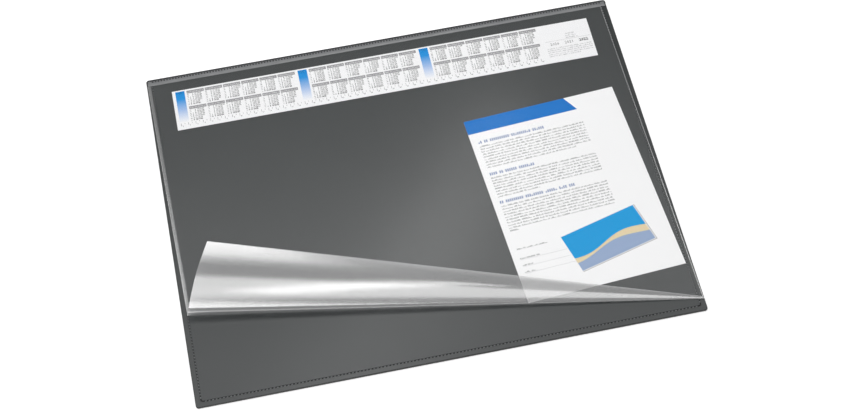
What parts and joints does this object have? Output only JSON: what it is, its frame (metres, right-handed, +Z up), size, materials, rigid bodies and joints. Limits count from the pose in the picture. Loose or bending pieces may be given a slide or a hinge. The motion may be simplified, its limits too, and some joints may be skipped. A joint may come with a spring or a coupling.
{
  "type": "desk pad",
  "caption": "Padded desk writing pad with a clear hinged overlay, its front corner curled back, holding a calendar strip and a loose sheet.",
  "frame": {"origin": "middle of the underside", "axes": "+X right along the width, +Y towards the hinged back edge, +Z up"},
  "size_m": [0.65, 0.52, 0.0307],
  "materials": {
    "backing": "matt non-slip foamed vinyl",
    "core": "grey board",
    "foam": "closed-cell foam",
    "skin": "soft matt vinyl",
    "strip": "satin vinyl",
    "hem": "glossy clear vinyl, milky where welded",
    "overlay": "glossy clear film",
    "calendar_card": "coated card",
    "leaflet_paper": "coated paper"
  },
  "bodies": {
    "pad": {"backing_sheet": "backing", "core_board": "core", "foam_layer": "foam", "top_skin": "skin", "hinge_strip": "strip", "overlay_hem": "hem"},
    "overlay": {"overlay_film": "overlay"},
    "calendar": {"calendar_strip": "calendar_card"},
    "leaflet": {"insert_leaflet": "leaflet_paper"}
  },
  "joints": [
    {"name": "overlay_hinge", "type": "hinge", "parent": "pad", "child": "overlay", "pos_m": [0, 0.2489, 0.00347], "axis": [-1, 0, 0], "range_deg": [0, 150]},
    {"name": "calendar_slide", "type": "slide", "parent": "pad", "child": "calendar", "axis": [1, 0, 0], "range_m": [-0.03, 0.15]},
    {"name": "leaflet_slide", "type": "slide", "parent": "pad", "child": "leaflet", "axis": [1, 0, 0], "range_m": [-0.35, 0.12]}
  ]
}
